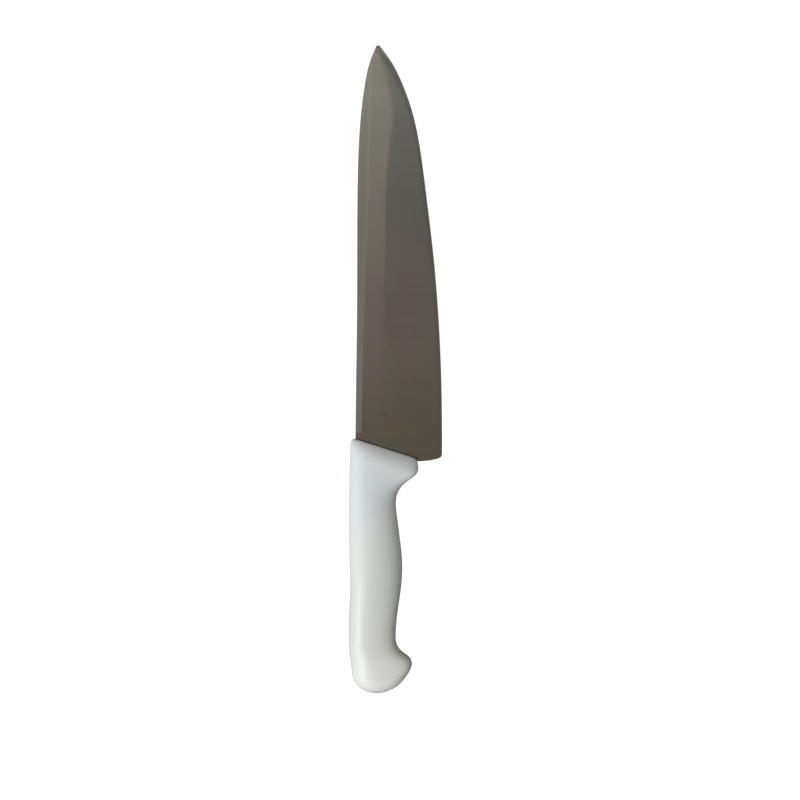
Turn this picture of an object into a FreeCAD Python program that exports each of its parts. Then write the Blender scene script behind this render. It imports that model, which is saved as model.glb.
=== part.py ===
"""Chef's knife with a stamped blade and a white moulded handle, lying on its side.

The real knife has two pieces. The blade and its tang are one stamped and ground sheet of stainless steel.
The handle is polypropylene moulded straight round the tang, so that it fills the tang's holes and cannot
slide off. Nothing on the knife moves, and it has no rivets, screws or separate bolster.

Sizes are in millimetres. The shape is drawn from the datum, which is where the spine leaves the handle:
+X runs to the tip, +Y from the cutting edge to the spine, and Z is the thickness, zero at the knife's
middle plane. export_parts() then moves the datum, so that the model's origin is the middle of the knife's
box on the surface that it lies on.
"""
import FreeCAD, Part
import math
import os

# Driving dimensions
BLADE_LENGTH = 203.2        # handle to tip along the spine: an 8 inch blade
HANDLE_LENGTH = 131.1       # datum to the end of the butt
EDGE_DEPTH = 48.0           # back of the handle to the cutting edge, the knife's overall depth
HANDLE_HALF_THICKNESS = 10.6  # on the handle's flats at the butt, the thickest place

# Blade
SHEET = 2.2                 # sheet thickness, kept in the tang and at the handle
TIP_SHEET = 1.3             # thickness of the flat at the tip, after the distal taper
TAPER_START = 0.6           # the taper starts here, just clear of the handle
SHOULDER_HALF = 0.20        # half thickness where the grind meets the cutting bevel
EDGE_HALF = 0.03            # half thickness of the cutting edge itself
BEVEL_WIDTH = 1.1           # width of the cutting bevel
GRIND_START = -14.0         # the grind runs back to here, inside the handle
RELIEF_ANGLE = 2.5          # degrees that the strip beside the spine falls towards the spine
RELIEF_START = (3.6, -6.25)  # the strip's inner line, from near the handle
RELIEF_END = (200.0, -11.3)  # to past the spine, near the tip

SPINE = [(0.0, -3.3), (30.0, -3.65), (60.0, -4.05), (100.0, -4.2), (130.0, -4.4), (150.0, -4.95),
         (170.0, -6.4), (185.0, -8.5), (196.0, -11.2), (202.6, -13.95)]
TIP = (BLADE_LENGTH, -15.0)
EDGE = [(202.5, -16.2), (195.0, -21.7), (185.0, -26.85), (170.0, -32.35), (150.0, -36.65),
        (125.0, -40.0), (95.0, -43.55), (60.0, -46.35), (30.0, -47.65), (0.0, -EDGE_DEPTH),
        (-7.5, -EDGE_DEPTH)]
HEEL_CORNER = (-9.4, -47.3)
HEEL_FOOT = (-10.2, -45.5)
HEEL_MIDDLE = (-11.05, -41.6)
HEEL_AT_GUARD = (-11.55, -34.7)
# Where the grind begins, as a line along the blade that follows the belly near the tip
RIDGE = [(GRIND_START, -17.1), (30.0, -17.6), (85.0, -18.4), (120.0, -18.8), (140.0, -19.5),
         (155.0, -21.5), (167.0, -22.5), (178.0, -21.1), (188.0, -18.9), (196.0, -16.5), (206.0, -13.4)]

# Points of the cutting edge straight across from those of the ridge, where the grind comes out
GRIND_FOOT = [(GRIND_START, -48.0), (30.0, -47.6), (80.0, -44.9), (112.0, -41.7), (131.0, -39.3),
              (148.0, -36.9), (162.0, -34.3), (175.0, -30.9), (187.5, -25.9), (198.0, -20.0), (206.0, -13.8)]

# Tang, all of it inside the handle
TANG_BACK = -5.6            # y of the tang's back edge
TANG_FRONT = -20.0          # y of its lower edge at the shoulder
TANG_LENGTH = 98.0
TANG_END = (-8.0, -17.6)    # y of its two edges at the far end
SHOULDER_DEPTH = 4.5        # how far the blade's full depth goes into the handle
TANG_HOLE_RADIUS = 3.0
TANG_HOLES = (-30.0, -58.0, -86.0)
TANG_HOLE_Y = -12.7

# Handle
FRONT_SLANT = 17.7          # degrees between the handle's front and a square cut
FRONT_AT = (-0.1, -3.6)     # a point of the front plane, at the spine
FRONT_BACK = -0.55          # y of the handle's back just behind the rounded edge of the front
FRONT_BELLY = -35.75        # y of the guard there
FRONT_DEPTH = 4.4           # the front's edge is rounded over this depth
FRONT_IN_BACK = 2.5         # how far the rounding draws in the back
FRONT_IN_BELLY = 2.0        # and the guard
FRONT_STEPS = (0.0, 0.06, 0.2, 0.42, 0.7, 1.0)  # shares of the depth, where sections draw the rounding
FRONT_THIN = 3.6            # what the half thickness loses at the front
FRONT_EASE = 8.0            # and how far behind the front it has it back
FRONT_FLATNESS = 0.24       # and how flat its sides are there
EGG = 0.03                  # the section is this much fuller towards the back
LEAN = 0.75                 # and its flatness leans this much towards the belly
# Each side of the handle has a narrow flat. The flat's plane also meets the blade near the tip, so the
# knife lies steadily on a table.
FLAT_AT_BUTT = (-117.0, HANDLE_HALF_THICKNESS)   # (x, z) on the plane
FLAT_AT_TIP = (198.0, 0.65)
CROWN = 0.3                 # how far the rounded side would stand above the flat

# Sections behind the front: the back's x and y, the belly's x and y, how much the half thickness falls
# short of the crowned side's, and the flatness of the side
SECTIONS = [
    (-8.0, -0.42, -17.8, -34.9, 0.0, 0.26),
    (-12.0, -0.35, -20.0, -32.6, 0.0, 0.24),
    (-16.5, -0.22, -22.9, -28.75, 0.0, 0.14),
    (-22.0, -0.15, -26.6, -25.65, 0.1, 0.09),
    (-30.0, -0.05, -32.0, -24.2, 0.2, 0.06),
    (-40.0, 0.0, -41.0, -24.9, 0.1, 0.05),
    (-52.0, 0.0, -52.5, -26.4, 0.0, 0.05),
    (-66.0, -0.3, -66.0, -27.5, 0.0, 0.06),
    (-80.0, -0.45, -80.0, -26.4, 0.1, 0.09),
    (-93.0, -0.05, -92.0, -24.7, 0.2, 0.12),
    (-101.0, 0.0, -100.5, -24.05, 0.2, 0.15),
    (-107.0, 0.0, -106.5, -24.9, 0.1, 0.18),
    (-111.5, -0.3, -110.3, -28.0, 0.1, 0.20),
    (-115.5, -0.85, -113.4, -31.7, 0.25, 0.21),
    (-118.5, -1.25, -116.6, -32.4, 0.6, 0.20),
    (-122.0, -1.7, -120.4, -30.8, 1.35, 0.16),
    (-125.5, -3.1, -124.1, -28.25, 2.7, 0.12),
    (-128.3, -5.5, -127.3, -25.1, 4.7, 0.08),
    (-130.1, -8.4, -129.4, -21.4, 6.8, 0.04),
    (-130.85, -11.1, -130.6, -18.3, 8.9, 0.02),
    (-HANDLE_LENGTH, -13.4, -HANDLE_LENGTH, -16.0, 10.2, 0.00),
]
POINTS_ROUND = 20           # points that draw each section


def at(x, y, z=0.0):
    return FreeCAD.Vector(x, y, z)


def curve(points):
    """Smooth edge through points (x, y) in the middle plane."""
    spline = Part.BSplineCurve()
    spline.interpolate([at(*p) for p in points])
    return spline.toShape()


def arc(start, middle, end):
    return Part.Arc(at(*start), at(*middle), at(*end)).toShape()


def line(start, end):
    return Part.makeLine(at(*start), at(*end))


def on_front(y, behind=0.0):
    """(x, y) of the point at that y of the plane `behind` the handle's front."""
    slant = math.radians(FRONT_SLANT)
    return (FRONT_AT[0] - behind / math.cos(slant) + (y - FRONT_AT[1]) * math.tan(slant), y)


def side_half(x):
    """Half thickness between the handle's two flats at x."""
    butt_x, butt_z = FLAT_AT_BUTT
    tip_x, tip_z = FLAT_AT_TIP
    return tip_z + (butt_z - tip_z) * (tip_x - x) / (tip_x - butt_x)


def flat_half(x):
    """Half thickness of the blade's flat at x: the sheet's own at the handle, tapered towards the tip."""
    share = max(0.0, x - TAPER_START) / BLADE_LENGTH
    return (SHEET + (TIP_SHEET - SHEET) * share) / 2


# Blade

def tang_outline():
    """Edges from the heel, round the tang inside the handle, to the spine at the datum."""
    inner = on_front(HEEL_AT_GUARD[1] + 7.0, SHOULDER_DEPTH)
    neck = on_front(TANG_FRONT - 2.5, SHOULDER_DEPTH)
    lower_start = (neck[0] - 6.0, TANG_FRONT)
    lower_end = (-TANG_LENGTH + 4.0, TANG_END[1])
    upper_end = (-TANG_LENGTH + 4.0, TANG_END[0])
    upper_start = (-SHOULDER_DEPTH - 6.0, TANG_BACK)
    back_shoulder = (-SHOULDER_DEPTH, SPINE[0][1])
    middle_y = (TANG_END[0] + TANG_END[1]) / 2
    return [
        line(HEEL_AT_GUARD, inner),
        line(inner, neck),
        arc(neck, (neck[0] - 1.9, TANG_FRONT - 1.4), lower_start),
        line(lower_start, lower_end),
        arc(lower_end, (-TANG_LENGTH, middle_y), upper_end),
        line(upper_end, upper_start),
        line(upper_start, back_shoulder),
        line(back_shoulder, SPINE[0]),
    ]


def blade_outline():
    """Edges of the blade that show, from the datum along the spine, round the tip and back to the heel."""
    return [
        curve(SPINE),
        arc(SPINE[-1], TIP, EDGE[0]),
        curve(EDGE),
        arc(EDGE[-1], HEEL_CORNER, HEEL_FOOT),
        arc(HEEL_FOOT, HEEL_MIDDLE, HEEL_AT_GUARD),
    ]


def blank():
    """The stamped sheet, blade and tang in one, with the tang's holes."""
    face = Part.Face(Part.Wire(blade_outline() + tang_outline()))
    sheet = face.extrude(at(0, 0, SHEET))
    sheet.translate(at(0, 0, -SHEET / 2))
    for x in TANG_HOLES:
        hole = Part.makeCylinder(TANG_HOLE_RADIUS, SHEET, at(x, TANG_HOLE_Y, -SHEET / 2))
        sheet = sheet.cut(hole)
    return sheet


def distal_taper():
    """What is ground off one side so that the flat thins evenly towards the tip."""
    beyond = BLADE_LENGTH + 6.0
    side = [at(TAPER_START, 0, SHEET / 2), at(beyond, 0, flat_half(beyond)), at(beyond, 0, SHEET),
            at(TAPER_START, 0, SHEET)]
    face = Part.Face(Part.makePolygon(side + side[:1]))
    face.translate(at(0, -EDGE_DEPTH - 2, 0))
    return face.extrude(at(0, EDGE_DEPTH + 4, 0))


def spine_relief():
    """What is ground off one side to leave the narrow strip that falls towards the spine."""
    reach = 9.0
    drop = reach * math.tan(math.radians(RELIEF_ANGLE))
    x, y = RELIEF_START
    z = flat_half(x)
    section = [at(x, y, z), at(x, y + reach, z - drop), at(x, y + reach, SHEET), at(x, y, SHEET)]
    along = at(RELIEF_END[0] - x, RELIEF_END[1] - y, flat_half(RELIEF_END[0]) - z)
    return Part.Face(Part.makePolygon(section + section[:1])).extrude(along)


def main_grind():
    """What the wide grind takes off one side, from the ridge line to beyond the cutting edge."""
    ridge = []
    beyond = []
    for (x, y), (edge_x, edge_y) in zip(RIDGE, GRIND_FOOT):
        top = at(x, y, flat_half(x))
        foot = at(edge_x, edge_y, SHOULDER_HALF)
        ridge.append(top)
        beyond.append(foot + (foot - top) * 0.2)
    upper = Part.BSplineCurve()
    upper.interpolate(ridge)
    lower = Part.BSplineCurve()
    lower.interpolate(beyond)
    ground = Part.makeRuledSurface(upper.toShape(), lower.toShape())
    return ground.extrude(at(0, 0, SHEET))


def cutting_bevel():
    """What sharpening takes off one side, as a wedge swept along the edge."""
    path = Part.Wire([curve([(BLADE_LENGTH + 1.5, -14.6)] + EDGE[1:-1] + [(GRIND_START, -EDGE_DEPTH)])])
    start = path.Edges[0].valueAt(path.Edges[0].FirstParameter)
    tangent = path.Edges[0].tangentAt(path.Edges[0].FirstParameter)
    inward = at(0, 0, 1).cross(tangent)
    if inward.y < 0:
        inward = inward * -1
    rise = (SHOULDER_HALF - EDGE_HALF) / BEVEL_WIDTH
    reach = (SHEET / 2 - EDGE_HALF) / rise
    profile = [(-1.0, EDGE_HALF - rise), (reach, SHEET / 2), (reach, SHEET), (-1.0, SHEET)]
    ring = [start + inward * across + at(0, 0, z) for across, z in profile]
    sweep = Part.BRepOffsetAPI.MakePipeShell(path)
    sweep.setFrenetMode(False)
    sweep.setBiNormalMode(at(0, 0, 1))
    sweep.add(Part.makePolygon(ring + ring[:1]))
    sweep.build()
    sweep.makeSolid()
    return sweep.shape()


def both_sides(solid):
    """A cutter for the +Z side, and its mirror for the other."""
    return [solid, solid.mirror(at(0, 0, 0), at(0, 0, 1))]


def blade():
    steel = blank()
    for cutter in (distal_taper(), spine_relief(), main_grind(), cutting_bevel()):
        for side in both_sides(cutter):
            steel = steel.cut(side)
    return steel.Solids[0]


# Handle

def section_wire(back, belly, half, flatness):
    """Closed oval between two plan points, with sides flatter than an ellipse's."""
    middle = ((back[0] + belly[0]) / 2, (back[1] + belly[1]) / 2)
    reach = ((back[0] - belly[0]) / 2, (back[1] - belly[1]) / 2)
    points = []
    for i in range(POINTS_ROUND):
        turn = 2 * math.pi * i / POINTS_ROUND
        cosine, sine = math.cos(turn), math.sin(turn)
        flat = flatness * (1 - LEAN * cosine)
        across = cosine * (1 + flat * sine * sine)
        up = sine * (1 + flat * cosine * cosine) * (1 + EGG * cosine)
        points.append(at(middle[0] + reach[0] * across, middle[1] + reach[1] * across, half * up))
    spline = Part.BSplineCurve()
    spline.interpolate(points, True)
    return Part.Wire([spline.toShape()])


def front_sections():
    """Ovals parallel to the front, growing over its rounded edge."""
    wires = []
    for share in FRONT_STEPS:
        behind = share * FRONT_DEPTH
        drawn_in = 1 - math.sqrt(1 - (1 - share) ** 2)
        back = on_front(FRONT_BACK - FRONT_IN_BACK * drawn_in, behind)
        belly = on_front(FRONT_BELLY + FRONT_IN_BELLY * drawn_in, behind)
        short = FRONT_THIN * (1 - behind / FRONT_EASE) ** 2
        half = side_half((back[0] + belly[0]) / 2) + CROWN - short
        wires.append(section_wire(back, belly, half, FRONT_FLATNESS))
    return wires


def moulding_body():
    """The handle as a solid, before the blade takes its place in it."""
    wires = front_sections()
    for back_x, back_y, belly_x, belly_y, short, flatness in SECTIONS:
        half = side_half((back_x + belly_x) / 2) + CROWN - short
        wires.append(section_wire((back_x, back_y), (belly_x, belly_y), half, flatness))
    return Part.makeLoft(wires, True, False)


def above_flat():
    """Everything above the flat of one side, as far as the handle reaches."""
    front, rear = 5.0, -HANDLE_LENGTH - 5.0
    side = [at(front, 0, side_half(front)), at(rear, 0, side_half(rear)), at(rear, 0, 20), at(front, 0, 20)]
    face = Part.Face(Part.makePolygon(side + side[:1]))
    face.translate(at(0, 5, 0))
    return face.extrude(at(0, -EDGE_DEPTH - 5, 0))


def handle(steel):
    """Two alike halves that meet on the middle plane, as the mould's do, cut to the blade and its tang."""
    room = Part.makeBox(HANDLE_LENGTH + 20, EDGE_DEPTH + 20, 20, at(-HANDLE_LENGTH - 10, -EDGE_DEPTH - 10, 0))
    half = moulding_body().common(room).cut(above_flat())
    upper, lower = both_sides(half)
    return upper.fuse(lower).cut(steel).Solids[0]


def export_parts():
    os.makedirs("parts", exist_ok=True)
    steel = blade()
    parts = {"blade": steel, "handle": handle(steel)}
    box = parts["handle"].fuse(steel).optimalBoundingBox()
    origin = at(box.Center.x, box.Center.y, box.ZMin)
    for name, shape in parts.items():
        shape.translate(origin * -1)
        print(name, shape.ShapeType, "valid", shape.isValid(), "solids", len(shape.Solids),
              "volume", round(shape.Volume), shape.optimalBoundingBox())
        shape.exportStep(f"parts/{name}.step")


export_parts()
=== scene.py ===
"""Looks for the chef's knife: a stamped, ground steel blade and a white moulded handle.

Lengths are millimetres from the datum, which is where the spine leaves the handle: x runs to the tip, y
from the cutting edge to the spine, and z is zero in the knife's middle plane. to_row() turns them into
metres in the row's frame. The numbers under STAGE are metres in the row's frame already. Colours are
linear red, green and blue, and a tint multiplies the colour under it.
"""
import math

import bmesh
import bpy
import numpy as np
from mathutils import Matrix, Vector


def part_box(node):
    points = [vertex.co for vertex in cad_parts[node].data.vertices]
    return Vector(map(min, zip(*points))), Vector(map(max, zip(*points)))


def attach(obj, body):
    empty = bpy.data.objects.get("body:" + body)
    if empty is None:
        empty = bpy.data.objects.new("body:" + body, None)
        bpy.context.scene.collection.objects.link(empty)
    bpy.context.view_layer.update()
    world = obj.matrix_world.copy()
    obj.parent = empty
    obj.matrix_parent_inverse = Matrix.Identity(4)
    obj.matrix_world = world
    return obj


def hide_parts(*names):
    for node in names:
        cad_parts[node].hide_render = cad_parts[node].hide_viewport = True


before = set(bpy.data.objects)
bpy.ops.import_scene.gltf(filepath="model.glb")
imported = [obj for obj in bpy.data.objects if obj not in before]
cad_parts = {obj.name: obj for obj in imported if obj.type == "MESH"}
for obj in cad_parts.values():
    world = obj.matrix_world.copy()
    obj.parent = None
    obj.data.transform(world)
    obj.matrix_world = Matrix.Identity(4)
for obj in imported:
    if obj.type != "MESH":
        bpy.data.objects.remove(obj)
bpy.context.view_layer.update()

MM = 0.001
BLADE_LENGTH = 203.2
EDGE_DEPTH = 48.0
blade_low, blade_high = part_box("blade")
SHIFT = Vector((blade_high[0] - BLADE_LENGTH * MM, blade_low[1] + EDGE_DEPTH * MM,
                (blade_low[2] + blade_high[2]) / 2))

# BLADE

SHEET = 2.2
TIP_SHEET = 1.3
SHOULDER_HALF = 0.20        # half thickness where the grind meets the cutting bevel
EDGE_HALF = 0.03
BEVEL_WIDTH = 1.1
SPINE_ROUND = 0.16
SPINE_ROUND_SHARES = (0.2, 0.6)   # at most these shares of the blade's depth and half thickness
RELIEF_ANGLE = 2.5          # degrees that the strip beside the spine falls towards the spine
RELIEF_START = (3.6, -6.25)
RELIEF_END = (200.0, -11.3)
NO_RELIEF = 9.0             # a half thickness that is never reached
GRIND_BELLY = 0.02          # the wide grind stands this much proud of a plane
MIN_GRIND = 0.3             # the narrowest the grind is taken to be

# Plan lines, as (x, y) points of smooth curves
SPINE = [(0.0, -3.3), (30.0, -3.65), (60.0, -4.05), (100.0, -4.2), (130.0, -4.4), (150.0, -4.95),
         (170.0, -6.4), (185.0, -8.5), (196.0, -11.2), (202.6, -13.95)]
TIP = (BLADE_LENGTH, -15.0)
EDGE = [(202.5, -16.2), (195.0, -21.7), (185.0, -26.85), (170.0, -32.35), (150.0, -36.65),
        (125.0, -40.0), (95.0, -43.55), (60.0, -46.35), (30.0, -47.65), (0.0, -EDGE_DEPTH),
        (-7.5, -EDGE_DEPTH)]
HEEL = [(-7.5, -48.0), (-8.3, -47.9), (-9.0, -47.6), (-9.5, -47.1), (-9.85, -46.5), (-10.2, -45.5),
        (-11.05, -41.6), (-11.55, -34.7)]
RIDGE = [(-14.0, -17.1), (30.0, -17.6), (85.0, -18.4), (120.0, -18.8), (140.0, -19.5),
         (155.0, -21.5), (167.0, -22.5), (178.0, -21.1), (188.0, -18.9), (196.0, -16.5), (206.0, -13.4)]
LINE_POINTS = 1200

# How softly two facets meet, as a height, and how far the ridge softens towards the tip
STRIP_BLEND = 0.006
BEVEL_BLEND = 0.010
RIDGE_BLEND_AT = (100, 125, 140, 160, 170, 190)
RIDGE_BLEND = (0.01, 0.03, 0.05, 0.07, 0.13, 0.18)

# How far the facets' tints, painted light and painted shade, run into each other, each side of their line
STRIP_FADE = 0.01
BEVEL_FADE = 0.12
RIDGE_FADE_AT = (110, 140, 170, 190)
RIDGE_FADE = (0.25, 0.9, 2.6, 2.8)
FADE_SHARE = 0.45           # and at most this share of the facet on either side

# Sections from the tip back, and the points of half a section from the spine to the edge
TIP_CAP = 0.004             # the first section is this far from the tip
TIP_REACH = 0.7             # sections crowd together over this much of the tip
TIP_SECTIONS = 12
BODY_SECTIONS = [(202.2, 180.0, 50), (179.0, 2.0, 178), (1.5, -7.5, 16)]    # from x, to x, how many
HEEL_SECTIONS = 40
HIDDEN_SECTIONS = [(-12.0, -33.0), (-12.8, -30.0), (-14.0, -27.0)]    # x and lower y, inside the handle
SPINE_TURN = np.linspace(0, math.pi / 2, 5)
FACET_STEPS = [(8, 0.8), (12, 0.9), (30, 0.8), (5, 0.5)]    # how many, and how far they crowd at the ends
BLADE_CREASE = 35           # degrees

# The grinding lines' UV map: its size in x and y, and the height that tells the two faces apart
GRAIN_UV = (400, 90)

# HANDLE

FRONT_SLANT = 17.7          # degrees
FRONT_AT = (-0.1, -3.6)
FRONT_BACK = -0.55
FRONT_BELLY = -35.75
FRONT_DEPTH = 4.4           # the front's rounding goes this far back
FRONT_IN_BACK = 2.5
FRONT_IN_BELLY = 2.0
FRONT_THIN = 3.6            # the front face is this much thinner on each side
FRONT_EASE = 8.0
FRONT_FLATNESS = 0.24
FRONT_STEPS = (0.0, 0.02, 0.06, 0.12, 0.2, 0.3, 0.42, 0.55, 0.7, 0.85, 1.0)
EGG = 0.045                 # the back's side of a section is this much thicker
LEAN = 0.75                 # and its belly's side this much flatter
SIDE_AT_BUTT = (-117.0, 10.6)     # x and half thickness of the line that the sides follow
SIDE_AT_TIP = (198.0, 0.65)
CROWN = 0.15                # the sides' domes rise this far above that line
SECTIONS = [                # back x, back y, belly x, belly y, how much less than the sides' line, flatness
    (-8.0, -0.42, -17.8, -34.9, 0.0, 0.26),
    (-12.0, -0.35, -20.0, -32.6, 0.0, 0.24),
    (-16.5, -0.22, -22.9, -28.75, 0.0, 0.14),
    (-22.0, -0.15, -26.6, -25.65, 0.1, 0.09),
    (-30.0, -0.05, -32.0, -24.2, 0.2, 0.06),
    (-40.0, 0.0, -41.0, -24.9, 0.1, 0.05),
    (-52.0, 0.0, -52.5, -26.4, 0.0, 0.05),
    (-66.0, -0.3, -66.0, -27.5, 0.0, 0.06),
    (-80.0, -0.45, -80.0, -26.4, 0.1, 0.09),
    (-93.0, -0.05, -92.0, -24.7, 0.2, 0.12),
    (-101.0, 0.0, -100.5, -24.05, 0.2, 0.15),
    (-107.0, 0.0, -106.5, -24.9, 0.1, 0.18),
    (-111.5, -0.3, -110.3, -28.0, 0.1, 0.20),
    (-115.5, -0.85, -113.4, -31.7, 0.25, 0.21),
    (-118.5, -1.25, -116.6, -32.4, 0.6, 0.20),
    (-122.0, -1.7, -120.4, -30.8, 1.35, 0.16),
    (-125.5, -3.1, -124.1, -28.25, 2.7, 0.12),
    (-128.3, -5.5, -127.3, -25.1, 4.7, 0.08),
    (-130.1, -8.4, -129.4, -21.4, 6.8, 0.04),
    (-130.85, -11.1, -130.6, -18.3, 8.9, 0.02),
    (-131.1, -13.4, -131.1, -16.0, 10.2, 0.00),
]
FRONT_STATIONS = 40
HANDLE_STATIONS = 300
RING = 120
HANDLE_CREASE = 60          # degrees

# The line where the blade enters the handle
CONTACT_BACK = (0.05, -3.1)
CONTACT_GUARD = (-10.2, -34.9)

# STEEL

STEEL_DARK = (0.603, 0.592, 0.555)
STEEL_LIGHT = (0.633, 0.622, 0.575)
LINE_NOISE = (1.0, 1.0, 0.5)       # scale, detail and roughness, here and in the noises below
SMUDGE_NOISE = (0.03, 3.0, 0.5)
STAIN_NOISE = (1.0, 2.0, 0.5)
# Where a face's zone number turns into the strip's painted light, the grind's painted shade and the bevel's
# tint
STRIP_ZONE = (0.7, 0.3)
GRIND_ZONE = (1.2, 1.8)
BEVEL_ZONE = (2.3, 2.8)
# Tints along the blade: the first, and then from x, to x and the next
# Painted shade: the grind darkens towards the tip, for the shade on its tilted facet
GRIND_SHADE_TINTS = [(1.035, 1.035, 1.00), (-5.0, 145.0, (0.775, 0.775, 0.80)),
               (95.0, 140.0, (0.748, 0.783, 0.828))]
# Painted light: the strip beside the spine is lighter and cooler near the heel, for the light its facet
# mirrors
STRIP_LIGHT_TINTS = [(1.36, 1.49, 1.69), (10.0, 60.0, (1.11, 1.22, 1.19)), (60.0, 120.0, (0.88, 0.90, 0.875))]
# Painted reflection: the whole blade is darker and warmer at the heel and lighter towards the tip
BLADE_REFLECTION_TINTS = [(0.88, 0.842, 0.80), (6.0, 46.0, (0.985, 0.915, 0.935)),
               (52.0, 150.0, (0.99, 0.985, 0.97))]
BEVEL_TINT = (1.22, 1.22, 1.22)
# Painted shade: the blade is darker over its last stretch to the tip
TIP_SHADE = (0.90, 0.90, 0.91)
TIP_SHADE_AT = (175.0, 192.0)
STAIN_TINTS = (0.985, 1.012, 0.99), (1.012, 0.982, 1.01)
STAIN_SCALE = (0.02, 0.09, 0.1)
STAIN_AT = (150.0, 110.0)
CROWN_HIGHLIGHT = (1.11, 1.11, 1.10)    # painted highlight: the light line where the strip meets the flat, near the tip
CROWN_HIGHLIGHT_WIDTH = (0.10, 1.1)          # half width and soft edge
CROWN_HIGHLIGHT_AT = (60.0, 110.0)
# Grinding lines across the blade: noise scales, how strongly they darken it, and their colour
LINES = (1.5, 0.012, 0.012), 0.07, (0.30, 0.28, 0.26)
BANDS = (3.1, 0.05, 0.05), 0.05, (0.30, 0.29, 0.27)
# Marks on the upper face: start, end, half width, soft edge and strength
SCRATCHES = [
    ((12.2, -16.6), (12.8, -20.2), 0.10, 0.34, 1.0),
    ((12.8, -20.2), (13.8, -24.2), 0.04, 0.34, 0.5),
    ((12.35, -13.8), (12.2, -16.6), 0.03, 0.26, 0.5),
]
FAINT_MARKS = [
    ((47.9, -20.6), (47.7, -30.4), 0.04, 0.26, 1.0),
    ((46.5, -23.5), (46.3, -30.4), 0.04, 0.26, 1.0),
    ((14.2, -15.0), (13.9, -19.0), 0.04, 0.26, 1.0),
]
UPPER_FACE_AT = (-0.02, 0.02)
SCRATCH_COLOUR = (0.06, 0.055, 0.045)
FAINT_COLOUR = (0.2, 0.19, 0.17)
# Painted shade on the blade along the line where it enters the handle
STEEL_CONTACT_SHADE = (0.03, 0.027, 0.022)
STEEL_CONTACT_SHADE_WIDTH = (0.35, 0.75)
SCRATCH_SHARE = 0.80
FAINT_SHARE = 0.30
STEEL_CONTACT_SHADE_SHARE = 0.92
STEEL_ROUGHNESS = 0.277
MARK_ROUGHNESS = 0.3        # added in a scratch and in the painted contact shade
STEEL_ANISOTROPY = 0.6
LINE_RELIEF = 0.5           # heights against the bands'
SCRATCH_RELIEF = 2.0
STEEL_BUMP = (0.04, 0.02)   # strength and height

# WHITE PLASTIC

# Painted light along the handle: the white is lightest at the butt's end, darker from the waist to the front,
# and cooler at the front
HANDLE_LIT_WHITES = [(0.793, 0.813, 0.795), (-112.0, -130.0, (0.84, 0.86, 0.86)),
                 (-105.0, -75.0, (0.72, 0.782, 0.768)), (-62.0, -36.0, (0.725, 0.782, 0.815))]
# Painted light: a lighter, cooler white on the belly's side of the handle
GUARD_LIT_WHITE = (0.765, 0.835, 0.845)
GUARD_AT = (-26.0, -32.0)          # y
CLOUD_NOISE = (0.045, 4.0, 0.6)
CLOUD_WHITE = (0.83, 0.84, 0.835)
CLOUD_MIX = (0.3, 0.7, 0.0, 0.35)  # from noise, to noise, from share, to share
GRAIN_NOISE = (1.1, 3.0, 0.7)
GRAIN_GREY = (0.62, 0.63, 0.62)
GRAIN_MIX = (0.35, 0.75, 0.0, 0.06)
GRAIN_ROUGHNESS = (0.3, 0.75, -0.04, 0.06)
# Painted shade on the handle's front along the line where the blade enters it
CONTACT_SHADE_GREY = (0.30, 0.28, 0.24)
CONTACT_SHADE_WIDTH = (0.25, 0.9)
CONTACT_SHADE_SHARE = 0.5
SHADE_GREY = (0.45, 0.46, 0.45)    # the softer painted shade beside the painted contact shade
SHADE_WIDTH = (0.6, 3.6)
SHADE_SHARE = 0.26
BUTT_TO_WAIST = (-88.0, -64.0)     # the butt is polished, and the rest is satin
POLISHED, SATIN = 0.25, 0.50
PLASTIC_IOR = 1.49
PIT_RELIEF = 0.5
GRAIN_STRENGTH = 0.6
GRAIN_DEPTH_AT = (-70.0, -90.0)
GRAIN_DEPTH = (0.15, 0.17)

# STAGE

FLOOR_HALF = 9.0
FLOOR_GAP = 0.00005         # the floor is this far under what rests on it
MIDDLE = 0.05               # the knife rests on one point ahead of this x and one behind minus it
FLOOR_ROUNDS = 8            # of finding the slope, which settles sooner
FLOOR_GREY = (0.30, 0.30, 0.30, 1)
FLOOR_ROUGHNESS = 0.9

# Name, place, target, size, power, colour, and whether it lights the handle only: from the edge's side the
# blade would mirror the windows to pure white.
LIGHTS = [
    ("window", (-0.45, 0.95, 0.85), (-0.10, 0, 0), (1.3, 0.9), 11.3, (1.0, 1.0, 1.0), True),
    ("small_window", (-0.034, 1.06, 0.618), (-0.13, 0.03, 0.018), (0.12, 0.12), 0.95, (1.0, 1.0, 1.0), True),
    ("far_glow", (0.75, 0.15, 0.85), (0.15, 0, 0), (0.5, 0.7), 1.1, (1.0, 0.98, 0.92), False),
]

# The room, by direction: overhead, its walls and below, each with where it turns into the other
OVERHEAD = (0.105, 0.092, 0.074), (0.33, 0.32, 0.29)    # over the butt, over the tip
OVERHEAD_AT = (-0.10, 0.55)
SIDE_TINTS = (0.80, 0.80, 0.82), (1.35, 1.35, 1.32)     # overhead on the edge's side, on the spine's side
SIDE_TINTS_AT = (-0.30, 0.50)
WALLS = (1.70, 1.72, 1.73), (0.40, 0.41, 0.41)          # behind the butt, elsewhere
WALLS_AT = (-0.9, 0.1)
EDGE_WALL = (0.60, 0.585, 0.535)
EDGE_WALL_AT = (0.0, -0.6)
BELOW = (0.03, 0.027, 0.020), (0.25, 0.25, 0.24)        # on the edge's side, on the spine's side
BELOW_AT = (-0.1, 0.7)
OVERHEAD_TO_WALLS = (0.80, 0.25)
WALLS_TO_BELOW = (0.25, -0.10)

CAMERA_PLAN = (-0.0159, -0.0023)
CAMERA_HEIGHT = 1.0         # above the knife's middle plane
VIEW_WIDTH = 0.413          # seen at that distance
SENSOR = 36
CLIP_END = 50


# Curves and heights

def to_row(points):
    """Points (x, y, z) in mm from the datum, as metres in the row's frame."""
    return np.asarray(points, dtype=float) * MM + np.array(SHIFT)


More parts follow.
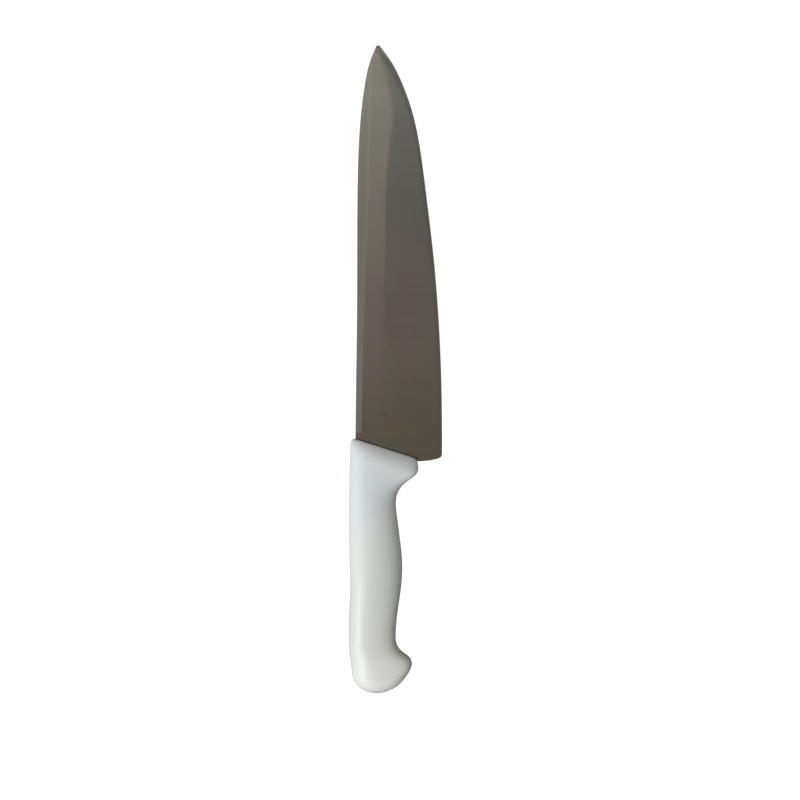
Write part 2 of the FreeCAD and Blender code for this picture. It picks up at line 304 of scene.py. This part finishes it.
def natural_spline(knots, values, at):
    """Natural cubic spline through values (n, k) at the knots, read at `at`."""
    knots = np.asarray(knots, dtype=float)
    values = np.asarray(values, dtype=float)
    n = len(knots)
    step = np.diff(knots)
    matrix = np.zeros((n, n))
    right = np.zeros((n, values.shape[1]))
    matrix[0, 0] = matrix[-1, -1] = 1.0
    for i in range(1, n - 1):
        matrix[i, i - 1] = step[i - 1]
        matrix[i, i] = 2 * (step[i - 1] + step[i])
        matrix[i, i + 1] = step[i]
        right[i] = 3 * ((values[i + 1] - values[i]) / step[i] - (values[i] - values[i - 1]) / step[i - 1])
    second = np.linalg.solve(matrix, right)
    where = np.clip(np.searchsorted(knots, at) - 1, 0, n - 2)
    h = step[where][:, None]
    d = (at - knots[where])[:, None]
    slope = (values[where + 1] - values[where]) / h - h * (2 * second[where] + second[where + 1]) / 3
    cubic = (second[where + 1] - second[where]) / (3 * h)
    return values[where] + slope * d + second[where] * d ** 2 + cubic * d ** 3


def smooth_line(points, count):
    """Dense smooth polyline through plan points, spaced by chord length."""
    points = np.asarray(points, dtype=float)
    knots = np.concatenate(([0.0], np.cumsum(np.linalg.norm(np.diff(points, axis=0), axis=1))))
    return natural_spline(knots, points, np.linspace(0, knots[-1], count))


def y_along(points):
    """y as a function of x on the smooth line through points."""
    dense = smooth_line(points, LINE_POINTS)
    dense = dense[np.argsort(dense[:, 0])]
    return lambda x: np.interp(x, dense[:, 0], dense[:, 1])


def arc_through(a, b, c):
    """Centre and radius of the circle through three plan points."""
    a, b, c = (np.array(p, dtype=float) for p in (a, b, c))
    left = 2 * np.array([b - a, c - a])
    right = np.array([b @ b - a @ a, c @ c - a @ a])
    centre = np.linalg.solve(left, right)
    return centre, float(np.linalg.norm(a - centre))


def spread(low, high, count, crowding):
    """count + 1 values from low to high, closer together at both ends."""
    t = np.linspace(0, 1, count + 1)
    eased = (1 - np.cos(np.pi * t)) / 2
    return low + (high - low) * (t * (1 - crowding) + eased * crowding)


def smooth_min(a, b, blend):
    """The smaller of a and b, rounded where they cross."""
    h = np.clip(0.5 + 0.5 * (b - a) / blend, 0, 1)
    return b + (a - b) * h - blend * h * (1 - h)


def flat_half(x):
    """Half thickness of the blade's flat at x."""
    return (SHEET + (TIP_SHEET - SHEET) * np.clip(x, 0, None) / BLADE_LENGTH) / 2


def side_half(x):
    """Half thickness of the line that the handle's sides follow, at x."""
    butt_x, butt_z = SIDE_AT_BUTT
    tip_x, tip_z = SIDE_AT_TIP
    return tip_z + (butt_z - tip_z) * (tip_x - x) / (tip_x - butt_x)


def front_x(y):
    """x of the handle's front plane at y."""
    return FRONT_AT[0] + (y - FRONT_AT[1]) * math.tan(math.radians(FRONT_SLANT))


# Materials

class Nodes:
    """Short hand for building a node tree."""

    def __init__(self, tree):
        self.tree = tree

    def add(self, kind, inputs=None, **settings):
        node = self.tree.nodes.new("ShaderNode" + kind)
        for key, value in settings.items():
            setattr(node, key, value)
        for key, value in (inputs or {}).items():
            self.feed(node.inputs[key], value)
        return node

    def feed(self, socket, value):
        """Links or sets a socket. A colour comes without its alpha."""
        if isinstance(value, bpy.types.NodeSocket):
            self.tree.links.new(value, socket)
        else:
            socket.default_value = (*value, 1.0) if socket.type == "RGBA" else value

    def math(self, operation, *values, clamp=False):
        return self.add("Math", dict(enumerate(values)), operation=operation, use_clamp=clamp).outputs[0]

    def vector(self, operation, *values):
        node = self.add("VectorMath", dict(enumerate(values)), operation=operation)
        return node.outputs["Value" if operation in ("DOT_PRODUCT", "LENGTH") else "Vector"]

    def split(self, vector):
        return self.add("SeparateXYZ", {0: vector}).outputs

    def noise(self, vector, scale, detail, roughness):
        inputs = {"Vector": vector, "Scale": scale, "Detail": detail, "Roughness": roughness}
        return self.add("TexNoise", inputs).outputs["Fac"]

    def ramp(self, value, low, high, out_low=0.0, out_high=1.0, shape="SMOOTHSTEP"):
        inputs = {"Value": value, "From Min": low, "From Max": high, "To Min": out_low, "To Max": out_high}
        return self.add("MapRange", inputs, interpolation_type=shape).outputs[0]

    def patches(self, noise, strength=1.0):
        """0 to strength over the middle of a noise's range."""
        return self.ramp(noise, 0.35, 0.65, 0.0, strength)

    def mix(self, share, first, second, blend="MIX"):
        node = self.add("Mix", {"Factor": share}, data_type="RGBA", blend_type=blend)
        self.feed(node.inputs[6], first)
        self.feed(node.inputs[7], second)
        return node.outputs[2]

    def tint(self, colour, tint, share=1.0):
        return self.mix(share, colour, tint, "MULTIPLY")

    def turning(self, along, table):
        """The table's first colour, which turns into each next one between two places along the knife."""
        colour = table[0]
        for start, end, following in table[1:]:
            colour = self.mix(self.ramp(along, start, end), colour, following)
        return colour

    def near_segment(self, plan, start, end, width, soft):
        """1 within `width` of the plan segment from start to end, falling to 0 over `soft`, in mm."""
        a = Vector((*start, 0.0))
        along = Vector((*end, 0.0)) - a
        from_a = self.vector("SUBTRACT", plan, a)
        share = self.vector("DOT_PRODUCT", from_a, along)
        share = self.math("DIVIDE", share, along.length_squared, clamp=True)
        nearest = self.add("VectorMath", {0: along, "Scale": share}, operation="SCALE").outputs[0]
        away = self.vector("LENGTH", self.vector("SUBTRACT", from_a, nearest))
        return self.ramp(away, width, width + soft, 1.0, 0.0)

    def marks(self, plan, table):
        """The strongest of the table's marks at each point."""
        strongest = 0.0
        for start, end, width, soft, strength in table:
            mark = self.math("MULTIPLY", self.near_segment(plan, start, end, width, soft), strength)
            strongest = self.math("MAXIMUM", strongest, mark)
        return strongest


class MaterialNodes(Nodes):
    """The nodes of a new material, with its surface points in mm from the datum."""

    def __init__(self, name):
        self.material = bpy.data.materials.new(name)
        self.material.use_nodes = True
        super().__init__(self.material.node_tree)
        self.shader = self.tree.nodes["Principled BSDF"]
        position = self.add("TexCoord").outputs["Object"]
        self.place = self.vector("MULTIPLY", self.vector("SUBTRACT", position, SHIFT), (1 / MM,) * 3)
        self.plan = self.vector("MULTIPLY", self.place, (1.0, 1.0, 0.0))

    def scaled_place(self, scale):
        return self.vector("MULTIPLY", self.place, scale)

    def contact(self, width, soft):
        """Near the line where the blade enters the handle."""
        return self.near_segment(self.plan, CONTACT_BACK, CONTACT_GUARD, width, soft)

    def bump(self, height, strength, distance):
        node = self.add("Bump", {"Height": height, "Strength": strength, "Distance": distance})
        self.feed(self.shader.inputs["Normal"], node.outputs[0])


def steel_material():
    n = MaterialNodes("ground_steel")
    along, _, height = n.split(n.place)
    zone = n.add("Attribute", attribute_name="zone").outputs["Fac"]
    strip = n.ramp(zone, *STRIP_ZONE)
    grind = n.ramp(zone, *GRIND_ZONE)
    bevel = n.ramp(zone, *BEVEL_ZONE)

    line_scale, line_share, line_colour = LINES
    band_scale, band_share, band_colour = BANDS
    lines = n.noise(n.scaled_place(line_scale), *LINE_NOISE)
    bands = n.noise(n.scaled_place(band_scale), *LINE_NOISE)
    smudge = n.noise(n.place, *SMUDGE_NOISE)
    stain = n.noise(n.scaled_place(STAIN_SCALE), *STAIN_NOISE)
    upper_face = n.ramp(height, *UPPER_FACE_AT)
    scratch = n.math("MULTIPLY", n.marks(n.plan, SCRATCHES), upper_face)
    faint = n.math("MULTIPLY", n.marks(n.plan, FAINT_MARKS), upper_face)
    crown_highlight = n.near_segment(n.plan, RELIEF_START, RELIEF_END, *CROWN_HIGHLIGHT_WIDTH)
    crown_highlight = n.math("MULTIPLY", crown_highlight, n.ramp(along, *CROWN_HIGHLIGHT_AT))
    contact_shade = n.contact(*STEEL_CONTACT_SHADE_WIDTH)

    steel = n.mix(n.patches(smudge), STEEL_DARK, STEEL_LIGHT)
    # painted shade on the grind
    steel = n.tint(steel, n.turning(along, GRIND_SHADE_TINTS), grind)
    # painted light on the strip
    steel = n.tint(steel, n.turning(along, STRIP_LIGHT_TINTS), strip)
    steel = n.tint(steel, BEVEL_TINT, bevel)
    # painted reflection along the blade
    steel = n.tint(steel, n.turning(along, BLADE_REFLECTION_TINTS))
    steel = n.tint(steel, n.mix(n.patches(stain), *STAIN_TINTS), n.ramp(along, *STAIN_AT))
    # painted highlight where the strip meets the flat
    steel = n.tint(steel, CROWN_HIGHLIGHT, crown_highlight)
    # painted shade towards the tip
    steel = n.tint(steel, TIP_SHADE, n.ramp(along, *TIP_SHADE_AT))
    steel = n.mix(n.patches(lines, line_share), steel, line_colour)
    steel = n.mix(n.patches(bands, band_share), steel, band_colour)
    steel = n.mix(n.math("MULTIPLY", scratch, SCRATCH_SHARE), steel, SCRATCH_COLOUR)
    steel = n.mix(n.math("MULTIPLY", faint, FAINT_SHARE), steel, FAINT_COLOUR)
    # painted shade where the blade enters the handle
    steel = n.mix(n.math("MULTIPLY", contact_shade, STEEL_CONTACT_SHADE_SHARE), steel, STEEL_CONTACT_SHADE)
    n.feed(n.shader.inputs["Base Color"], steel)

    rough = n.math("MULTIPLY", n.math("MAXIMUM", scratch, contact_shade), MARK_ROUGHNESS)
    n.feed(n.shader.inputs["Roughness"], n.math("ADD", rough, STEEL_ROUGHNESS))
    n.shader.inputs["Metallic"].default_value = 1.0
    n.shader.inputs["Anisotropic"].default_value = STEEL_ANISOTROPY
    tangent = n.add("Tangent", direction_type="UV_MAP", uv_map="grain")
    n.feed(n.shader.inputs["Tangent"], tangent.outputs[0])

    relief = n.math("ADD", n.math("MULTIPLY", lines, LINE_RELIEF), bands)
    relief = n.math("SUBTRACT", relief, n.math("MULTIPLY", scratch, SCRATCH_RELIEF))
    strength, depth = STEEL_BUMP
    n.bump(relief, strength, depth * MM)
    return n.material


def handle_material():
    n = MaterialNodes("white_moulding")
    along, across, _ = n.split(n.place)
    grain = n.noise(n.place, *GRAIN_NOISE)
    pits = n.add("TexVoronoi", {"Vector": n.place, "Scale": 1.0}, feature="F1").outputs["Distance"]
    cloud = n.noise(n.place, *CLOUD_NOISE)

    # painted light along the handle
    white = n.turning(along, HANDLE_LIT_WHITES)
    # painted light on the belly's side
    white = n.mix(n.ramp(across, *GUARD_AT), white, GUARD_LIT_WHITE)
    white = n.mix(n.ramp(cloud, *CLOUD_MIX), white, CLOUD_WHITE)
    white = n.mix(n.ramp(grain, *GRAIN_MIX), white, GRAIN_GREY)
    # painted shade along the blade's entry, then a softer painted shade
    white = n.mix(n.math("MULTIPLY", n.contact(*CONTACT_SHADE_WIDTH), CONTACT_SHADE_SHARE), white, CONTACT_SHADE_GREY)
    white = n.mix(n.math("MULTIPLY", n.contact(*SHADE_WIDTH), SHADE_SHARE), white, SHADE_GREY)
    n.feed(n.shader.inputs["Base Color"], white)

    rough = n.ramp(grain, *GRAIN_ROUGHNESS, shape="LINEAR")
    rough = n.math("ADD", rough, n.ramp(along, *BUTT_TO_WAIST, POLISHED, SATIN))
    n.feed(n.shader.inputs["Roughness"], rough)
    n.shader.inputs["IOR"].default_value = PLASTIC_IOR

    relief = n.math("ADD", grain, n.math("MULTIPLY", pits, PIT_RELIEF))
    shallow, deep = GRAIN_DEPTH
    n.bump(relief, GRAIN_STRENGTH, n.ramp(along, *GRAIN_DEPTH_AT, shallow * MM, deep * MM))
    return n.material


# Pieces

def new_piece(name, vertices, faces, node, material):
    mesh = bpy.data.meshes.new(name)
    mesh.from_pydata([tuple(v) for v in to_row(vertices)], [], faces)
    mesh.validate()
    mesh.update()
    piece = bpy.data.objects.new(name, mesh)
    bpy.context.scene.collection.objects.link(piece)
    for polygon in mesh.polygons:
        polygon.use_smooth = True
    mesh.materials.append(material)
    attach(piece, "root")
    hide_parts(node)
    return piece


def tube_faces(count, size):
    """Quads between `count` rings of `size` points, and a cap at each end."""
    faces = []
    for i in range(count - 1):
        for k in range(size):
            a, b = i * size + k, i * size + (k + 1) % size
            faces.append((a, b, b + size, a + size))
    faces.append(tuple(reversed(range(size))))
    faces.append(tuple(range((count - 1) * size, count * size)))
    return faces


def sharpen(mesh, degrees):
    """Turns the faces outwards, and ends smooth shading at edges sharper than the angle."""
    work = bmesh.new()
    work.from_mesh(mesh)
    bmesh.ops.recalc_face_normals(work, faces=work.faces)
    for edge in work.edges:
        if len(edge.link_faces) == 2:
            edge.smooth = edge.calc_face_angle(0.0) < math.radians(degrees)
    work.to_mesh(mesh)
    work.free()


def blade_sections():
    """x of each section, with y of its spine, lower end, strip's line, ridge and edge line."""
    spine, edge, ridge = y_along(SPINE), y_along(EDGE), y_along(RIDGE)
    tip = BLADE_LENGTH - np.append(TIP_CAP, TIP_REACH * np.linspace(0, 1, TIP_SECTIONS)[1:] ** 2)
    body = np.concatenate([tip] + [np.linspace(*run) for run in BODY_SECTIONS])
    heel = smooth_line(HEEL, HEEL_SECTIONS)[1:]
    hidden = np.array(HIDDEN_SECTIONS)
    x = np.concatenate((body, heel[:, 0], hidden[:, 0]))
    top = spine(np.clip(x, 0, None))
    low = np.concatenate((edge(body), heel[:, 1], hidden[:, 1]))
    centre, radius = arc_through(SPINE[-1], TIP, EDGE[0])
    reach = np.sqrt(np.clip(radius ** 2 - (x - centre[0]) ** 2, 0, None))
    top = np.where(x > SPINE[-1][0], centre[1] + reach, top)
    low = np.where(x > EDGE[0][0], centre[1] - reach, low)
    strip = np.interp(x, *zip(RELIEF_START, RELIEF_END))
    return zip(x, top, low, strip, ridge(x), edge(x), np.gradient(edge(x), x))


def blade_half(x, y, strip, ridge, edge, edge_slope):
    """Half thickness of the blade at (x, y)."""
    flat = flat_half(x)
    relief = flat - (y - strip) * math.tan(math.radians(RELIEF_ANGLE))
    relief = np.where(x > RELIEF_START[0], relief, NO_RELIEF)
    share = (ridge - y) / np.maximum(ridge - edge, MIN_GRIND)
    grind = flat + (SHOULDER_HALF - flat) * share + 4 * GRIND_BELLY * np.clip(share * (1 - share), 0, 1)
    away = (y - edge) / np.sqrt(1 + edge_slope ** 2)
    bevel = EDGE_HALF + (SHOULDER_HALF - EDGE_HALF) / BEVEL_WIDTH * away
    half = smooth_min(flat, relief, STRIP_BLEND)
    half = smooth_min(half, grind, np.interp(x, RIDGE_BLEND_AT, RIDGE_BLEND))
    half = smooth_min(half, bevel, BEVEL_BLEND)
    return np.maximum(half, EDGE_HALF)


def facet_zones(x, y, strip, ridge, bevel):
    """The facet each y is on: 0 strip, 1 flat, 2 grind, 3 cutting bevel, and between them where two meet."""
    ridge_fade = min(np.interp(x, RIDGE_FADE_AT, RIDGE_FADE), FADE_SHARE * (strip - ridge),
                     FADE_SHARE * (ridge - bevel))
    lines = [(strip, STRIP_FADE), (ridge, ridge_fade), (bevel, BEVEL_FADE)]
    places = [side * fade - line for line, fade in lines for side in (-1, 1)]
    zone = np.interp(-y, places, [0, 1, 1, 2, 2, 3])
    return np.maximum(zone, 1.0) if x < RELIEF_START[0] else zone


def build_blade(material):
    sections, zones = [], []
    for x, top, low, strip, ridge, edge, slope in blade_sections():
        bevel = edge + BEVEL_WIDTH * math.sqrt(1 + slope ** 2)
        marks = np.clip([top, strip, ridge, bevel, low], low, top)
        depth_share, half_share = SPINE_ROUND_SHARES
        rounding = min(SPINE_ROUND, (top - low) * depth_share)
        starts = [top - rounding, *marks[1:-1]]
        facets = [spread(start, end, *steps)[1:] for start, end, steps in zip(starts, marks[1:], FACET_STEPS)]
        y = np.concatenate([top - rounding * (1 - np.cos(SPINE_TURN))] + facets)
        y = np.minimum.accumulate(y)
        half = blade_half(x, y, strip, ridge, edge, slope)
        corner = slice(len(SPINE_TURN))
        half[corner] -= np.minimum(rounding, half[corner] * half_share) * (1 - np.sin(SPINE_TURN))
        sections.append(np.stack([np.full_like(y, x), y, half], axis=1))
        zones.append(facet_zones(x, y, *marks[1:-1]))
    upper, zones = np.array(sections), np.array(zones)
    rings = np.concatenate((upper, upper[:, ::-1] * (1, 1, -1)), axis=1)
    zones = np.concatenate((zones, zones[:, ::-1]), axis=1)
    vertices = rings.reshape(-1, 3)
    piece = new_piece("blade_ground", vertices, tube_faces(*zones.shape), "blade", material)
    mesh = piece.data
    mesh.attributes.new("zone", "FLOAT", "POINT").data.foreach_set("value", zones.ravel().astype(np.float32))
    corners = np.zeros(len(mesh.loops), dtype=np.int32)
    mesh.loops.foreach_get("vertex_index", corners)
    size, face_height = GRAIN_UV
    uv = vertices[:, :2] / size + 0.5
    uv[:, 1] += vertices[:, 2] / face_height
    mesh.uv_layers.new(name="grain").data.foreach_set("uv", uv[corners].ravel().astype(np.float32))
    sharpen(mesh, BLADE_CREASE)
    return piece


def handle_knots():
    """The handle's sections from its front: back x and y, belly x and y, half thickness and flatness."""
    ends = []
    for share in FRONT_STEPS:
        drawn_in = 1 - math.sqrt(1 - (1 - share) ** 2)
        back_y = FRONT_BACK - FRONT_IN_BACK * drawn_in
        belly_y = FRONT_BELLY + FRONT_IN_BELLY * drawn_in
        behind = share * FRONT_DEPTH / math.cos(math.radians(FRONT_SLANT))
        short = FRONT_THIN * (1 - share * FRONT_DEPTH / FRONT_EASE) ** 2
        ends.append((front_x(back_y) - behind, back_y, front_x(belly_y) - behind, belly_y, short,
                     FRONT_FLATNESS))
    knots = np.array(ends + SECTIONS)
    knots[:, 4] = side_half((knots[:, 0] + knots[:, 2]) / 2) + CROWN - knots[:, 4]
    return knots


def build_handle(material):
    knots = handle_knots()
    travel = np.linalg.norm(np.diff(knots[:, :5], axis=0), axis=1)
    along = np.concatenate(([0.0], np.cumsum(travel)))
    front_end = along[len(FRONT_STEPS) - 1]
    at = np.concatenate((np.linspace(0, front_end, FRONT_STATIONS)[:-1],
                         np.linspace(front_end, along[-1], HANDLE_STATIONS)))
    turn = 2 * math.pi * np.arange(RING) / RING
    cosine, sine = np.cos(turn), np.sin(turn)
    rings = []
    for back_x, back_y, belly_x, belly_y, half, flatness in natural_spline(along, knots, at):
        flat = flatness * (1 - LEAN * cosine)
        across = cosine * (1 + flat * sine ** 2)
        up = sine * (1 + flat * cosine ** 2) * (1 + EGG * cosine)
        x = (back_x + belly_x) / 2 + (back_x - belly_x) / 2 * across
        y = (back_y + belly_y) / 2 + (back_y - belly_y) / 2 * across
        rings.append(np.stack([x, y, half * up], axis=1))
    piece = new_piece("handle_moulding", np.concatenate(rings), tube_faces(len(rings), RING),
                      "handle", material)
    sharpen(piece.data, HANDLE_CREASE)
    return piece


# Stage

def look_at(obj, target):
    obj.rotation_euler = (Vector(target) - obj.location).to_track_quat("-Z", "Y").to_euler()


def area_light(name, place, target, size, power, colour, only=None):
    """A soft light. With `only`, it lights that one piece."""
    data = bpy.data.lights.new(name, "AREA")
    data.shape = "RECTANGLE"
    data.size, data.size_y = size
    data.energy = power
    data.color = colour
    light = bpy.data.objects.new(name, data)
    light.location = place
    bpy.context.scene.collection.objects.link(light)
    look_at(light, target)
    if only is not None:
        lit = bpy.data.collections.new(name + "_lights")
        lit.objects.link(only)
        light.light_linking.receiver_collection = lit


def resting_floor(points):
    """Height at x = 0 and slope of the surface that the handle and the blade's far end both touch."""
    ahead = points[points[:, 0] > MIDDLE]
    behind = points[points[:, 0] < -MIDDLE]
    slope = 0.0
    for _ in range(FLOOR_ROUNDS):
        rest = behind[np.argmin(behind[:, 2] - slope * behind[:, 0])]
        slope = np.min((ahead[:, 2] - rest[2]) / (ahead[:, 0] - rest[0]))
    return rest[2] - slope * rest[0], slope


def build_floor(pieces):
    """A white floor, as bright as the background, that the knife rests on and isn't lit by."""
    height, slope = resting_floor(np.array([tuple(v.co) for piece in pieces for v in piece.data.vertices]))
    plan = [(-FLOOR_HALF, -FLOOR_HALF), (FLOOR_HALF, -FLOOR_HALF), (FLOOR_HALF, FLOOR_HALF),
            (-FLOOR_HALF, FLOOR_HALF)]
    mesh = bpy.data.meshes.new("floor")
    mesh.from_pydata([(x, y, height + slope * x - FLOOR_GAP) for x, y in plan], [], [(0, 1, 2, 3)])
    floor = bpy.data.objects.new("floor", mesh)
    bpy.context.scene.collection.objects.link(floor)
    material = bpy.data.materials.new("pale_floor")
    material.use_nodes = True
    shader = material.node_tree.nodes["Principled BSDF"]
    shader.inputs["Base Color"].default_value = FLOOR_GREY
    shader.inputs["Roughness"].default_value = FLOOR_ROUGHNESS
    shader.inputs["Emission Color"].default_value = (1, 1, 1, 1)
    shader.inputs["Emission Strength"].default_value = 1.0
    mesh.materials.append(material)
    floor.visible_diffuse = False
    floor.visible_glossy = False


def build_world():
    """A dim room: darker overhead, lighter beyond the tip and on the spine's side."""
    world = bpy.data.worlds.new("room")
    bpy.context.scene.world = world
    world.use_nodes = True
    n = Nodes(world.node_tree)
    x, y, z = n.split(n.add("TexCoord").outputs["Generated"])
    overhead = n.mix(n.ramp(x, *OVERHEAD_AT), *OVERHEAD)
    overhead = n.tint(overhead, n.mix(n.ramp(y, *SIDE_TINTS_AT), *SIDE_TINTS))
    wall = n.mix(n.ramp(x, *WALLS_AT), *WALLS)
    wall = n.mix(n.ramp(y, *EDGE_WALL_AT), wall, EDGE_WALL)
    below = n.mix(n.ramp(y, *BELOW_AT), *BELOW)
    wall = n.mix(n.ramp(z, *WALLS_TO_BELOW), wall, below)
    room = n.mix(n.ramp(z, *OVERHEAD_TO_WALLS), overhead, wall)
    background = n.tree.nodes["Background"]
    n.feed(background.inputs["Color"], room)
    background.inputs["Strength"].default_value = 1.0


def build_camera():
    """Straight down on the knife, with the tip up in the picture."""
    data = bpy.data.cameras.new("camera")
    camera = bpy.data.objects.new("camera", data)
    bpy.context.scene.collection.objects.link(camera)
    camera.location = (*CAMERA_PLAN, SHIFT.z + CAMERA_HEIGHT)
    camera.rotation_euler = (0, 0, -math.pi / 2)
    data.sensor_width = SENSOR
    data.lens = SENSOR * CAMERA_HEIGHT / VIEW_WIDTH
    data.clip_end = CLIP_END
    bpy.context.scene.camera = camera


blade_piece = build_blade(steel_material())
handle_piece = build_handle(handle_material())
build_floor([blade_piece, handle_piece])
build_world()
for *light, handle_only in LIGHTS:
    area_light(*light, only=handle_piece if handle_only else None)
build_camera()
bpy.context.scene.view_settings.view_transform = "Standard"
bpy.context.scene.view_settings.look = "None"
